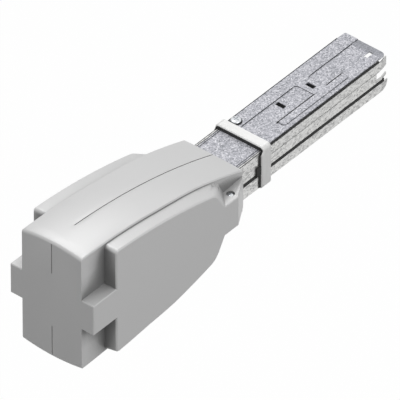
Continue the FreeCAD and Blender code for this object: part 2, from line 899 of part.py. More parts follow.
def terminal_screw(k):
    seat = chamber_top + terminal_head_seat + thread_clearance
    tip = bar_top + thread_clearance
    size = (seat, terminal_head_height, terminal_head_flats, tip, terminal_screw_radius)
    return hex_screw(setback(cage_setback), pole_y(k), *size)


# Carrier and cable clamp


def saddle_bracket():
    """Folded saddle under the stub, with slotted ears that follow the inside of the wing."""
    x0 = setback(saddle_setback)
    x1 = x0 + saddle_length
    outer = stub_half_width + saddle_sheet
    ear = saddle_sheet / 2
    core = stub_core(x0, x1)
    strap = box(x0, x1, -outer, outer, saddle_bottom, ear).cut(core)
    ears = plan_prism(wing_outline(wall + ear_clearance), -ear, ear)
    ears = ears.common(box(x0, x1, -wing_half_width, wing_half_width, -ear, ear)).cut(core)
    x = setback(shell_screw_setback)
    slot = shell_screw_radius + ear_slot_clearance
    for y in (shell_screw_offset, -shell_screw_offset):
        way = box(x - slot, x + slot, 0, wing_half_width - shell_screw_offset, -ear, ear)
        way.translate(V(0, y if y > 0 else -wing_half_width, 0))
        ears = ears.cut(post(x, y, -ear, ear, slot)).cut(way)
    return one_solid(strap.fuse(ears)).cut(carrier_holes(saddle_bottom, stub_bottom))


def mounting_tray():
    """Steel tray that carries the terminals and the cable clamp, stiffened by upturned edges."""
    x0 = station(tray_station)
    half = tray_half_width
    tray = box(x0, setback(tray_setback), -half, half, tray_bottom, saddle_bottom)
    for y0 in (-half, half - tray_flange_sheet):
        flange_top = saddle_bottom + tray_flange_height
        x1 = setback(stub_setback) - tray_flange_clearance
        tray = tray.fuse(box(x0, x1, y0, y0 + tray_flange_sheet, tray_bottom, flange_top))
    tray = tray.cut(carrier_holes(tray_bottom, saddle_bottom)).cut(fixing_holes(tray_bottom, saddle_bottom))
    return one_solid(tray.cut(clamp_bores(tray_bottom, saddle_bottom)))


def small_screws(x, offset, head_low, tip):
    """A pair of small screws on both sides of the centre plane."""
    size = (head_low, small_head_height, small_head_flats, tip, small_screw_radius)
    return Part.makeCompound([hex_screw(x, side * offset, *size) for side in (1, -1)])


def carrier_screws():
    """Screws from below through tray, saddle and stub."""
    reach = stub_bottom + joint_sheet + carrier_screw_reach - tray_bottom
    x = setback(carrier_screw_setback)
    pair = small_screws(x, carrier_screw_offset, tray_bottom, tray_bottom - reach)
    return pair.mirror(V(0, 0, tray_bottom), V(0, 0, 1))


def terminal_fixing_screws():
    """Screws that hold the terminal block's foot to the tray."""
    x = setback(fixing_screw_setback)
    return small_screws(x, fixing_screw_offset, chamber_floor, tray_bottom - tray_sheet)


def clamp_bores(z0, z1):
    return screw_holes(station(clamp_station) + clamp_length / 2, clamp_screw_offset, z0, z1)


def clamp_groove(bottom_z):
    """Round hollow that the cable lies in; bottom_z is its deepest line."""
    x = station(clamp_station) - overrun
    centre = V(x, 0, bottom_z + clamp_groove_radius)
    return Part.makeCylinder(clamp_groove_radius, clamp_length + 2 * overrun, centre, V(1, 0, 0))


def cable_clamp_base():
    x0 = station(clamp_station)
    top = saddle_bottom + clamp_base_height
    base = box(x0, x0 + clamp_length, -clamp_half_width, clamp_half_width, saddle_bottom, top)
    base = base.cut(clamp_groove(top - clamp_groove_depth))
    return base.cut(clamp_bores(saddle_bottom, top))


def cable_clamp_bar():
    x0 = station(clamp_station)
    low = saddle_bottom + clamp_base_height + clamp_opening
    bar = box(x0, x0 + clamp_length, -clamp_half_width, clamp_half_width, low, low + clamp_bar_height)
    hollow = clamp_groove(low + clamp_groove_depth - 2 * clamp_groove_radius)
    return bar.cut(hollow).cut(clamp_bores(low, low + clamp_bar_height))


def cable_clamp_screws():
    x = station(clamp_station) + clamp_length / 2
    head = saddle_bottom + clamp_base_height + clamp_opening + clamp_bar_height
    return small_screws(x, clamp_screw_offset, head, -clamp_screw_tip)


left_half, right_half = housing_halves()
save("left_half_shell", left_half)
save("right_half_shell", right_half)
for label, sign in (("left", 1), ("right", -1)):
    save(label + "_shell_screw", shell_screw(sign))
    save(label + "_shell_nut", shell_nut(sign))
    save(label + "_joint_side_plate", joint_side_plate(sign))
save("stub_upper_casing", stub_upper_casing())
save("stub_cover_strip", stub_cover_strip())
save("stub_lower_casing", stub_lower_casing())
save("bar_supports", bar_supports())
save("neck_seal", neck_seal())
save("seal_collar", seal_collar())
save("collar_gasket", collar_gasket())
save("joint_top_plate", joint_top_plate())
save("joint_lower_channel", joint_lower_channel())
save("contact_block", contact_block())
save("contact_forks", contact_forks())
save("joint_lock_screw", joint_lock_screw())
save("joint_lock_plate", joint_lock_plate())
save("terminal_block", terminal_block())
save("terminal_cap", terminal_cap())
for index, pole in enumerate(poles):
    save("busbar_" + pole, busbar(index))
    save("terminal_cage_" + pole, terminal_cage(index))
    save("terminal_screw_" + pole, terminal_screw(index))
save("saddle_bracket", saddle_bracket())
save("mounting_tray", mounting_tray())
save("carrier_screws", carrier_screws())
save("terminal_fixing_screws", terminal_fixing_screws())
save("cable_clamp_base", cable_clamp_base())
save("cable_clamp_bar", cable_clamp_bar())
save("cable_clamp_screws", cable_clamp_screws())
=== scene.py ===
"""Looks of a busway end feed unit: moulded grey housing, galvanised stub and joint, white collar.

Everything is in metres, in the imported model's frame: +X out along the busway, +Y left, +Z up.
"""
import bmesh
import bpy
import json
import math
from collections import namedtuple
from mathutils import Matrix, Vector
from mathutils.bvhtree import BVHTree


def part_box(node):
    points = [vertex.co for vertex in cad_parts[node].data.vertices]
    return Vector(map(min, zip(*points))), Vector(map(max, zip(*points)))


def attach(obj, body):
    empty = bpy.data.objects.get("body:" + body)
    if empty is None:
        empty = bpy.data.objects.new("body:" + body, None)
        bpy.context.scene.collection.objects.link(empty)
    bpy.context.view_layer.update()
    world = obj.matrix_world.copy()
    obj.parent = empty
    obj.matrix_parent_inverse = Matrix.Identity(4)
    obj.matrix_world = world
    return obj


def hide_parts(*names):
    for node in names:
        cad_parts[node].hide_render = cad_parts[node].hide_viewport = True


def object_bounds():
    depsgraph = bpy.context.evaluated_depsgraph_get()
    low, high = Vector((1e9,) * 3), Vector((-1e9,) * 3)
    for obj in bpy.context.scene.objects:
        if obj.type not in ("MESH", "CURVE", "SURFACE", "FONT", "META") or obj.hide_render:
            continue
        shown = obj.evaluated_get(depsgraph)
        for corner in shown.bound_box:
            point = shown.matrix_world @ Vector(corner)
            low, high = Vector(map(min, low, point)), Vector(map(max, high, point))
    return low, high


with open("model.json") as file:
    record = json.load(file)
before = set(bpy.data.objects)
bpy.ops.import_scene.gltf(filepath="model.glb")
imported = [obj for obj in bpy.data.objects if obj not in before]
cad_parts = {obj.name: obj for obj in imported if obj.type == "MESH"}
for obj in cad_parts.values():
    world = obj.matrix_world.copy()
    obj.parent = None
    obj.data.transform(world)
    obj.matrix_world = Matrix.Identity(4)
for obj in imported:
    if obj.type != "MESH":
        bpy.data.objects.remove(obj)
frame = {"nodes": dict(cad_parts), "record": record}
cad_low, cad_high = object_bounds()
nodes = frame["nodes"]
record = frame["record"]
scene = bpy.context.scene
MM = 0.001

# The photograph's view: a very long lens, so that parallel edges stay parallel
VIEW_AZIMUTH = -50.4
VIEW_ELEVATION = 39.0
VIEW_WIDTH = 316 * MM
VIEW_TARGET = Vector((-58.4, 0.0, -13.2)) * MM
LENS = 1500.0
SENSOR = 36.0
CLIP_FAR = 100.0

# Studio
FLOOR_DROP = 0.7
FLOOR_REACH = 12.0
FLOOR_GLOW = 0.98
SKY_LEVEL = 0.55
LAMP_AIM = Vector((-0.09, 0.0, 0.0))

# The streak lamp shows only as a soft gloss on the moulded pieces
STREAK = "streak_softbox"
GLOSSY_NODES = ("left_half_shell", "right_half_shell", "seal_collar")

# Softboxes: name, direction from the object, distance, width and power in watts
SOFTBOXES = (
    ("rear_softbox", (0.0, 0.42, 0.90), 1.6, 0.6, 5.5),
    ("right_softbox", (-0.10, -0.80, 0.60), 1.6, 1.0, 6.3),
    (STREAK, (0.41, 0.36, 0.84), 1.6, 1.0, 16.0),
)

# Copies of the CAD pieces
MERGE_GAP = 0.002 * MM
FLAT_ANGLE = math.radians(0.4)
SMOOTH_ANGLE = math.radians(26)

# How far out of a corner the housing's grey is darkened with painted shade
SHADE_REACH = 22 * MM
SHADE_SAMPLES = 12

# Node kinds that are used most
MATH = "ShaderNodeMath"
NOISE = "ShaderNodeTexNoise"
RAMP = "ShaderNodeValToRGB"
RANGE = "ShaderNodeMapRange"


def colour(code):
    """Linear colour with alpha from an sRGB hex value."""
    channels = [int(code[k:k + 2], 16) / 255 for k in (1, 3, 5)]
    linear = [c / 12.92 if c <= 0.04045 else ((c + 0.055) / 1.055) ** 2.4 for c in channels]
    return (*linear, 1.0)


def add(tree, kind, links=None, out=0, stops=(), **settings):
    """Adds a node and gives back an output; links are sockets, lists of sockets or plain values."""
    node = tree.nodes.new(kind)
    for name, value in settings.items():
        setattr(node, name, value)
    for name, source in (links or {}).items():
        if isinstance(source, bpy.types.NodeSocket):
            tree.links.new(source, node.inputs[name])
        elif isinstance(source, list):
            for socket in source:
                tree.links.new(socket, node.inputs[name])
        else:
            node.inputs[name].default_value = source
    for position, _ in stops[2:]:
        node.color_ramp.elements.new(position)
    for element, (position, code) in zip(node.color_ramp.elements if stops else (), stops):
        element.position = position
        element.color = colour(code)
    return node.outputs[out] if len(node.outputs) else None


# Materials: each builds its nodes from the surface coordinates and gives back the finished surface


def moulded_abs(tree, place):
    """Injection-moulded ABS from a spark-eroded tool: even light grey and half dull, with painted
    shade darkening its corners.
    """
    # The tool's grain of 0.1 mm is too fine to show and is drawn as 0.5 mm grain
    grain = add(tree, NOISE, {"Vector": place, "Scale": 1 / (0.5 * MM), "Detail": 3.0})
    near = {"Distance": SHADE_REACH}
    settings = {"samples": SHADE_SAMPLES, "only_local": True}
    open_sky = add(tree, "ShaderNodeAmbientOcclusion", near, "AO", **settings)
    corner = add(tree, MATH, {0: 1.0, 1: open_sky}, operation="SUBTRACT")
    # Painted shade is made stronger on upright walls near their corners than on ledges
    facing = add(tree, "ShaderNodeNewGeometry", out="Normal")
    up = add(tree, "ShaderNodeSeparateXYZ", {"Vector": facing}, "Z")
    upright_shade_gain = add(tree, RANGE, {"Value": up, "To Min": 2.3, "To Max": 0.65})
    dust_and_painted_shade = add(tree, MATH, {0: corner, 1: upright_shade_gain}, operation="MULTIPLY")
    unshaded_greys = ((0.0, "#D5D5D5"), (0.18, "#C6C6C6"))
    shaded_greys = ((0.38, "#A4A4A4"), (0.6, "#8A8A8A"), (1.0, "#7C7C7C"))
    # The ramp darkens the grey where the piece's own corners hide the sky: painted shade
    shade = add(tree, RAMP, {"Fac": dust_and_painted_shade}, stops=unshaded_greys + shaded_greys)
    gloss = add(tree, RANGE, {"Value": grain, "To Min": 0.30, "To Max": 0.42})
    relief = add(tree, "ShaderNodeBump", {"Height": grain, "Distance": 0.006 * MM})
    surface = {"Base Color": shade, "Roughness": gloss, "Normal": relief, "IOR": 1.53}
    return add(tree, "ShaderNodeBsdfPrincipled", surface)


def painted_bend_shade(tree, facet):
    """Makes crystals darker where the sheet is bent at its far end: painted shade on faces that
    tilt outwards.
    """
    facing = add(tree, "ShaderNodeNewGeometry", out="True Normal")
    outward = add(tree, "ShaderNodeSeparateXYZ", {"Vector": facing}, "X")
    bend = {"Value": outward, "From Min": 0.02, "From Max": 0.04, "To Min": 1.0, "To Max": 0.32}
    bend = add(tree, RANGE, bend)
    return add(tree, MATH, {0: facet, 1: bend}, operation="MULTIPLY")


def spangled_zinc(tree, place):
    """Hot-dip galvanised sheet with a small spangle: salt-and-pepper crystals, faintly blue."""
    # Crystals of this finish are about 0.6 mm across and are drawn 1.0 mm so that they show
    cells = {"Vector": place, "Scale": 1 / (1.0 * MM)}
    crystal = add(tree, "ShaderNodeTexVoronoi", cells, "Color")
    facet = add(tree, "ShaderNodeSeparateColor", {"Color": crystal}, "Red")
    greys = ((0.0, "#909297"), (0.3, "#B2B3B9"), (0.7, "#C4C4CA"), (1.0, "#E2E2E6"))
    shade = add(tree, RAMP, {"Fac": painted_bend_shade(tree, facet)}, stops=greys)
    sheen = {"Value": facet.node.outputs["Green"], "To Min": 0.55, "To Max": 0.72}
    gloss = add(tree, RANGE, sheen)
    frost = add(tree, NOISE, {"Vector": place, "Scale": 1 / (0.6 * MM), "Detail": 3.0})
    relief = add(tree, "ShaderNodeBump", {"Height": frost, "Distance": 0.004 * MM})
    surface = {"Base Color": shade, "Roughness": gloss, "Normal": relief, "Metallic": 0.85}
    return add(tree, "ShaderNodeBsdfPrincipled", surface)


def rolled_zinc(tree, place):
    """Galvanised sheet rolled after dipping: paler, smoother, its spangle almost pressed away."""
    # Crystals of 0.6 mm are drawn 1.2 mm, and stretched along the rolling direction
    rolled = add(tree, "ShaderNodeMapping", {"Vector": place, "Scale": (0.6, 1.0, 1.0)})
    cells = {"Vector": rolled, "Scale": 1 / (1.2 * MM)}
    crystal = add(tree, "ShaderNodeTexVoronoi", cells, "Color")
    facet = add(tree, "ShaderNodeSeparateColor", {"Color": crystal}, "Red")
    greys = ((0.0, "#A2A2A2"), (0.2, "#C2C2C1"), (0.5, "#D4D4D3"), (1.0, "#E4E4E2"))
    shade = add(tree, RAMP, {"Fac": painted_bend_shade(tree, facet)}, stops=greys)
    sheen = {"Value": facet.node.outputs["Green"], "To Min": 0.34, "To Max": 0.48}
    gloss = add(tree, RANGE, sheen)
    surface = {"Base Color": shade, "Roughness": gloss, "Metallic": 0.85}
    return add(tree, "ShaderNodeBsdfPrincipled", surface)


def shade_line_steel(tree, place):
    """Dark steel with the shear's fine drag marks, laid in thin strips as lines of painted shade
    along edges, beads and lips.
    """
    # Drag marks are about 0.1 mm apart and are drawn 0.4 mm
    drag = add(tree, NOISE, {"Vector": place, "Scale": 1 / (0.4 * MM), "Detail": 2.0})
    shade = add(tree, RAMP, {"Fac": drag}, stops=((0.3, "#26272A"), (0.7, "#3E4044")))
    gloss = add(tree, RANGE, {"Value": drag, "To Min": 0.5, "To Max": 0.65})
    surface = {"Base Color": shade, "Roughness": gloss, "Metallic": 0.5}
    return add(tree, "ShaderNodeBsdfPrincipled", surface)


def white_polycarbonate(tree, place):
    """Glass-filled white moulding: satin, with a faint flow mottle about 3 mm across."""
    along = add(tree, "ShaderNodeMapping", {"Vector": place, "Scale": (1.0, 0.3, 0.3)})
    flow = add(tree, NOISE, {"Vector": along, "Scale": 1 / (3.0 * MM), "Detail": 3.0})
    shade = add(tree, RAMP, {"Fac": flow}, stops=((0.3, "#EAEAE9"), (0.7, "#F2F2F1")))
    # The mould's grain of 0.1 mm is drawn 0.5 mm
    grain = add(tree, NOISE, {"Vector": place, "Scale": 1 / (0.5 * MM), "Detail": 2.0})
    gloss = add(tree, RANGE, {"Value": grain, "To Min": 0.32, "To Max": 0.44})
    relief = add(tree, "ShaderNodeBump", {"Height": grain, "Distance": 0.004 * MM})
    surface = {"Base Color": shade, "Roughness": gloss, "Normal": relief, "IOR": 1.58}
    return add(tree, "ShaderNodeBsdfPrincipled", surface)


def black_epdm(tree, place):
    """Extruded rubber: near black and matt, with a dusty bloom in patches of 1.5 mm."""
    dust_and_painted_shade = add(tree, NOISE, {"Vector": place, "Scale": 1 / (1.5 * MM), "Detail": 4.0})
    shade = add(tree, RAMP, {"Fac": dust_and_painted_shade}, stops=((0.35, "#1A1A1A"), (0.75, "#2C2C2C")))
    gloss = add(tree, RANGE, {"Value": dust_and_painted_shade, "To Min": 0.7, "To Max": 0.85})
    relief = add(tree, "ShaderNodeBump", {"Height": dust_and_painted_shade, "Distance": 0.02 * MM})
    surface = {"Base Color": shade, "Roughness": gloss, "Normal": relief}
    return add(tree, "ShaderNodeBsdfPrincipled", surface)


def black_nylon(tree, place):
    """Glass-filled nylon: black, with the fibres showing as a slight grey mottle."""
    # Fibres are 0.3 mm long and 0.01 mm thick; they are drawn 2.4 mm by 0.6 mm
    along = add(tree, "ShaderNodeMapping", {"Vector": place, "Scale": (0.25, 1.0, 1.0)})
    fibre = add(tree, NOISE, {"Vector": along, "Scale": 1 / (0.6 * MM), "Detail": 3.0})
    shade = add(tree, RAMP, {"Fac": fibre}, stops=((0.35, "#08080A"), (0.75, "#121214")))
    gloss = add(tree, RANGE, {"Value": fibre, "To Min": 0.46, "To Max": 0.62})
    relief = add(tree, "ShaderNodeBump", {"Height": fibre, "Distance": 0.008 * MM})
    surface = {"Base Color": shade, "Roughness": gloss, "Normal": relief, "IOR": 1.53}
    # The rough skin scatters most of the shine away
    surface["Specular IOR Level"] = 0.08
    return add(tree, "ShaderNodeBsdfPrincipled", surface)


def grey_nylon(tree, place):
    """Flame-retardant nylon of terminal blocks: mid grey, finely pebbled."""
    # Pebbles of 0.15 mm are drawn 0.5 mm
    pebble = add(tree, NOISE, {"Vector": place, "Scale": 1 / (0.5 * MM), "Detail": 3.0})
    shade = add(tree, RAMP, {"Fac": pebble}, stops=((0.3, "#767B7E"), (0.7, "#82888C")))
    gloss = add(tree, RANGE, {"Value": pebble, "To Min": 0.4, "To Max": 0.55})
    relief = add(tree, "ShaderNodeBump", {"Height": pebble, "Distance": 0.008 * MM})
    surface = {"Base Color": shade, "Roughness": gloss, "Normal": relief, "IOR": 1.53}
    return add(tree, "ShaderNodeBsdfPrincipled", surface)


def bright_zinc(tree, place):
    """Bright zinc-plated steel: clear and slightly blue, with fine marks left by the die."""
    # Die marks of 0.1 mm are drawn 0.4 mm
    mark = add(tree, NOISE, {"Vector": place, "Scale": 1 / (0.4 * MM), "Detail": 3.0})
    shade = add(tree, RAMP, {"Fac": mark}, stops=((0.3, "#CFD2D6"), (0.7, "#EBEDEF")))
    gloss = add(tree, RANGE, {"Value": mark, "To Min": 0.16, "To Max": 0.28})
    surface = {"Base Color": shade, "Roughness": gloss, "Metallic": 1.0}
    return add(tree, "ShaderNodeBsdfPrincipled", surface)


def drawn_copper(tree, place):
    """Hard-drawn copper bar: salmon red, streaked along its length and a little browned."""
    # Die streaks of 0.1 mm are drawn 0.5 mm wide and many times as long
    along = add(tree, "ShaderNodeMapping", {"Vector": place, "Scale": (0.03, 1.0, 1.0)})
    streak = add(tree, NOISE, {"Vector": along, "Scale": 1 / (0.5 * MM), "Detail": 3.0})
    stain = add(tree, NOISE, {"Vector": place, "Scale": 1 / (12 * MM), "Detail": 4.0})
    both = add(tree, "ShaderNodeMix", {0: 0.5, 2: streak, 3: stain})
    shade = add(tree, RAMP, {"Fac": both}, stops=((0.3, "#B06A4C"), (0.7, "#D39373")))
    gloss = add(tree, RANGE, {"Value": streak, "To Min": 0.25, "To Max": 0.42})
    surface = {"Base Color": shade, "Roughness": gloss, "Metallic": 1.0}
    return add(tree, "ShaderNodeBsdfPrincipled", surface)


def tin_plate(tree, place):
    """Tin-plated copper: warm silver, milky in patches of 2.5 mm."""
    milk = add(tree, NOISE, {"Vector": place, "Scale": 1 / (2.5 * MM), "Detail": 4.0})
    shade = add(tree, RAMP, {"Fac": milk}, stops=((0.3, "#C2BFB8"), (0.7, "#D9D6CF")))
    gloss = add(tree, RANGE, {"Value": milk, "To Min": 0.3, "To Max": 0.45})
    surface = {"Base Color": shade, "Roughness": gloss, "Metallic": 1.0}
    return add(tree, "ShaderNodeBsdfPrincipled", surface)


def yellow_zinc(tree, place):
    """Chromated zinc plate: straw yellow that drifts to green and pink over 4 mm."""
    drift = add(tree, NOISE, {"Vector": place, "Scale": 1 / (4 * MM), "Detail": 3.0})
    tints = ((0.3, "#C9BC82"), (0.5, "#D8C892"), (0.7, "#CDB58E"))
    shade = add(tree, RAMP, {"Fac": drift}, stops=tints)
    gloss = add(tree, RANGE, {"Value": drift, "To Min": 0.24, "To Max": 0.38})
    surface = {"Base Color": shade, "Roughness": gloss, "Metallic": 1.0}
    return add(tree, "ShaderNodeBsdfPrincipled", surface)


def finish(name, build):
    """New material whose patterns are laid out in the piece's own coordinates."""
    material = bpy.data.materials.new(name)
    material.use_nodes = True
    tree = material.node_tree
    tree.nodes.clear()
    place = add(tree, "ShaderNodeTexCoord", out="Object")
    add(tree, "ShaderNodeOutputMaterial", {"Surface": build(tree, place)})
    return material


# Finish of each of the record's material slots
slot_finish = {
    "housing_plastic": finish("moulded_grey_abs", moulded_abs),
    "galvanised_steel": finish("rolled_galvanised_sheet", rolled_zinc),
    "collar_plastic": finish("white_moulded_polycarbonate", white_polycarbonate),
    "black_rubber": finish("black_epdm_rubber", black_epdm),
    "black_plastic": finish("black_glass_filled_nylon", black_nylon),
    "terminal_plastic": finish("grey_terminal_nylon", grey_nylon),
    "plated_screw": finish("bright_zinc_plated_steel", bright_zinc),
    "copper": finish("hard_drawn_copper", drawn_copper),
    "tinned_copper": finish("tin_plated_copper", tin_plate),
    "cage_steel": finish("yellow_chromated_steel", yellow_zinc),
}

# Pieces whose finish differs from the rest of their slot
spangled = finish("spangled_galvanised_sheet", spangled_zinc)
piece_finish = {"joint_top_plate": spangled, "stub_cover_strip": spangled}
# Dark steel lines stand for the shade along panel edges, beads, the flange and the lips: painted
# shade
painted_shade_lines = finish("dark_steel_shade_lines", shade_line_steel)

slot_of_node = {subpart["node"]: subpart["material_slot"] for subpart in record["subparts"]}
bodies = record["behaviour"]["bodies"]
body_of_node = {node: body for body, members in bodies.items() for node in members}


def look(node):
    """The finish that a CAD node takes."""
    return piece_finish.get(node, slot_finish[slot_of_node[node]])


def new_piece(name, data):
    """Adds an object to the scene, at the origin."""
    piece = bpy.data.objects.new(name, data)
    scene.collection.objects.link(piece)
    return piece


def settle(piece):
    """Turns a piece with modifiers into a plain mesh, still at the origin."""
    graph = bpy.context.evaluated_depsgraph_get()
    mesh = bpy.data.meshes.new_from_object(piece.evaluated_get(graph))
    piece.modifiers.clear()
    piece.data = mesh
    mesh.name = piece.name


def stand_for(piece, node):
    """Lets a finished piece take a CAD node's place on its body."""
    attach(piece, body_of_node[node])
    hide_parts(node)


# Softened copies of the CAD pieces

# Edge rounding in millimetres; pieces not named here take EDGE_ROUND
EDGE_ROUND = 0.25
EDGE_ROUNDS = {
    "left_half_shell": 0.6,
    "right_half_shell": 0.6,
    "seal_collar": 0.4,
    "collar_gasket": 0.2,
    "terminal_block": 0.4,
    "terminal_cap": 0.4,
    "cable_clamp_base": 0.6,
    "cable_clamp_bar": 0.6,
    "stub_upper_casing": 0.2,
    "joint_top_plate": 0.15,
}
EDGE_STEPS = 3

# The collar's top is shorter than its sides; its rim and the gasket's go back between these heights
RIM_TURN_LOW = 14.8 * MM
RIM_TURN_HIGH = 17.3 * MM
RIM_SETBACK = 2.2 * MM
COLLAR_RIM = 1.0 * MM
GASKET_THICKNESS = 1.1 * MM
GASKET_TOP_THINNED = 0.6 * MM
GASKET_SIDE_THICKENED = 0.8 * MM
GASKET_FACE_SLACK = 0.05 * MM
GASKET_TURN_SLACK = 0.1 * MM
GASKET_MARGIN = 1.0 * MM

# Joint's top plate: its left end corner, and its windows' centres in millimetres, reach and growth
CAD_CORNER = 5.0 * MM
LEFT_CORNER = 1.8 * MM
WINDOWS = ((44.6, 2.1), (78.6, -0.6))
WINDOW_REACH = (2.2 * MM, 4.1 * MM)
WINDOW_OPENED = (0.1 * MM, 0.35 * MM)

# Joint's walls past the bend: those farther out than the inner limit lean in by the slope, and all
# are drawn out until they end this short of the unit's box
END_BEND = 140.8 * MM
END_BEND_INNER = 15.0 * MM
END_SLOPE = 0.05
END_SHORT = 0.1 * MM

# The black core is kept clear of the side notches
CORE_SHORTENED = 4.6 * MM

# Housing: its roof's curve, and the lift of the roof's rear edges and of the cheeks' lower front
ROOF_RADIUS = 574.5 * MM
COLUMN_HALF_WIDTH = 30.25 * MM
SIDE_SLACK = 0.2 * MM
ROOF_EDGE_FADE = (17 * MM, 6 * MM)
CROWN_LIFT = 2.3 * MM
CROWN_FADE = (90 * MM, 150 * MM)
CHEEK_FOOT_DEPTH = 9.0 * MM
CHEEK_LIFT = 2.4 * MM
CHEEK_FADE = (105 * MM, 60 * MM)


def split(form, place, direction, gap=0.0):
    """Cuts the piece's faces along a plane."""
    sheet = form.verts[:] + form.edges[:] + form.faces[:]
    bmesh.ops.bisect_plane(form, geom=sheet, dist=gap, plane_co=place, plane_no=direction)


def split_at_turn(form):
    """Cuts the piece's faces level with the foot of the turn."""
    split(form, (0, 0, RIM_TURN_LOW), (0, 0, 1))


def set_back_rim(form, depth):
    """Moves the front rim back above the turn's foot."""
    front = min(vertex.co.x for vertex in form.verts)
    for vertex in form.verts:
        if vertex.co.x < front + depth and vertex.co.z > RIM_TURN_LOW:
            share = min((vertex.co.z - RIM_TURN_LOW) / (RIM_TURN_HIGH - RIM_TURN_LOW), 1.0)
            vertex.co.x += RIM_SETBACK * share


def reshape_collar(form):
    """Sets the collar's top rim back."""
    split_at_turn(form)
    set_back_rim(form, COLLAR_RIM)


def reshape_gasket(form):
    """Thins the gasket's top bar, thickens its sides and sets the top back with the rim."""
    split_at_turn(form)
    low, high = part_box("collar_gasket")
    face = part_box("seal_collar")[0].x - GASKET_THICKNESS
    for vertex in form.verts:
        if abs(vertex.co.x - face) < GASKET_FACE_SLACK:
            above = vertex.co.z > RIM_TURN_LOW + GASKET_TURN_SLACK
            vertex.co.x += GASKET_TOP_THINNED if above else -GASKET_SIDE_THICKENED
    set_back_rim(form, high.x - low.x + GASKET_MARGIN)


def reshape_top_plate(form):
    """Tightens the top plate's left end corner and opens its windows a little."""
    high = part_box("joint_top_plate")[1]
    centre = Vector((high.x - CAD_CORNER, high.y - CAD_CORNER))
    tight = Vector((high.x - LEFT_CORNER, high.y - LEFT_CORNER))
    for vertex in form.verts:
        out = vertex.co.xy - centre
        if out.x > -MERGE_GAP and out.y > -MERGE_GAP:
            vertex.co.xy = tight + out.normalized() * LEFT_CORNER
        for x, y in WINDOWS:
            aside = vertex.co.xy - Vector((x, y)) * MM
            if abs(aside.x) < WINDOW_REACH[0] and abs(aside.y) < WINDOW_REACH[1]:
                vertex.co.x += math.copysign(WINDOW_OPENED[0], aside.x)
                vertex.co.y += math.copysign(WINDOW_OPENED[1], aside.y)


def bend_end(form):
    """Bends the far end of the joint's side walls a little inwards and draws it out."""
    split(form, (END_BEND, 0, 0), (1, 0, 0), MERGE_GAP)
    end = max(vertex.co.x for vertex in form.verts)
    stretch = (cad_high.x - END_SHORT - END_BEND) / (end - END_BEND)
    for vertex in form.verts:
        past = (vertex.co.x - END_BEND) * stretch
        if past > 0:
            vertex.co.x = END_BEND + past
            if abs(vertex.co.y) > END_BEND_INNER:
                vertex.co.y -= math.copysign(past * END_SLOPE, vertex.co.y)


def shorten_core(form):
    """Draws the core's far end back."""
    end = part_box("contact_block")[1].x
    for vertex in form.verts:
        if vertex.co.x > end - MERGE_GAP:
            vertex.co.x -= CORE_SHORTENED


def fade(value, start, end):
    """Smooth step from 0 at start to 1 at end."""
    share = min(max((value - start) / (end - start), 0.0), 1.0)
    return share * share * (3 - 2 * share)


def reshape_shell(form):
    """Flattens the roof's crown towards the rear and lifts the cheeks' lower front edge."""
    for vertex in form.verts:
        station = vertex.co.x - cad_low.x
        across = abs(vertex.co.y)
        roof = cad_high.z - ROOF_RADIUS + math.sqrt(ROOF_RADIUS ** 2 - station ** 2)
        if across < COLUMN_HALF_WIDTH + SIDE_SLACK:
            near_roof = fade(roof - vertex.co.z, *ROOF_EDGE_FADE)
            rise = near_roof * fade(station, *CROWN_FADE) * (across / COLUMN_HALF_WIDTH) ** 2
            vertex.co.z += CROWN_LIFT * rise
        elif vertex.co.z < CHEEK_FOOT_DEPTH - roof:
            vertex.co.z += CHEEK_LIFT * fade(station, *CHEEK_FADE)


RESHAPED = {
    "left_half_shell": reshape_shell,
    "right_half_shell": reshape_shell,
    "seal_collar": reshape_collar,
    "collar_gasket": reshape_gasket,
    "joint_top_plate": reshape_top_plate,
    "left_joint_side_plate": bend_end,
    "right_joint_side_plate": bend_end,
    "joint_lower_channel": bend_end,
    "contact_block": shorten_core,
}


def soften(node):
    """Copy of a CAD node with triangles merged, edges rounded and curves shaded smoothly."""
    form = bmesh.new()
    form.from_mesh(nodes[node].data)
    bmesh.ops.remove_doubles(form, verts=form.verts, dist=MERGE_GAP)
    bmesh.ops.dissolve_limit(form, angle_limit=FLAT_ANGLE, verts=form.verts, edges=form.edges)
    if node in RESHAPED:
        RESHAPED[node](form)
    mesh = bpy.data.meshes.new("soft_" + node)
    form.to_mesh(mesh)
    form.free()
    mesh.materials.append(look(node))
    piece = new_piece("soft_" + node, mesh)
    mesh.shade_smooth()
    mesh.set_sharp_from_angle(angle=SMOOTH_ANGLE)
    edge = piece.modifiers.new("rounded_edges", "BEVEL")
    edge.width = EDGE_ROUNDS.get(node, EDGE_ROUND) * MM
    edge.segments = EDGE_STEPS
    edge.limit_method = "ANGLE"
    edge.angle_limit = SMOOTH_ANGLE
    edge.harden_normals = True
    settle(piece)
    stand_for(piece, node)
    return piece


# Geometry Nodes trees

# Steps round heads, shanks, threads and strips' bends, and a slot's length in head radii
ROUND_SIDES = 40
SHANK_SIDES = 24
THREAD_STEPS = 20
RIDGE_SIDES = 4
BEND_STEPS = 4
SLOT_LENGTH = 1.3


def new_tree(name, inputs):
    """Tree with named inputs, given as name and socket kind, and one geometry output."""
    tree = bpy.data.node_groups.new(name, "GeometryNodeTree")
    for label, kind in inputs:
        tree.interface.new_socket(label, in_out="INPUT", socket_type="NodeSocket" + kind)
    tree.interface.new_socket("Geometry", in_out="OUTPUT", socket_type="NodeSocketGeometry")
    return tree, tree.nodes.new("NodeGroupInput").outputs


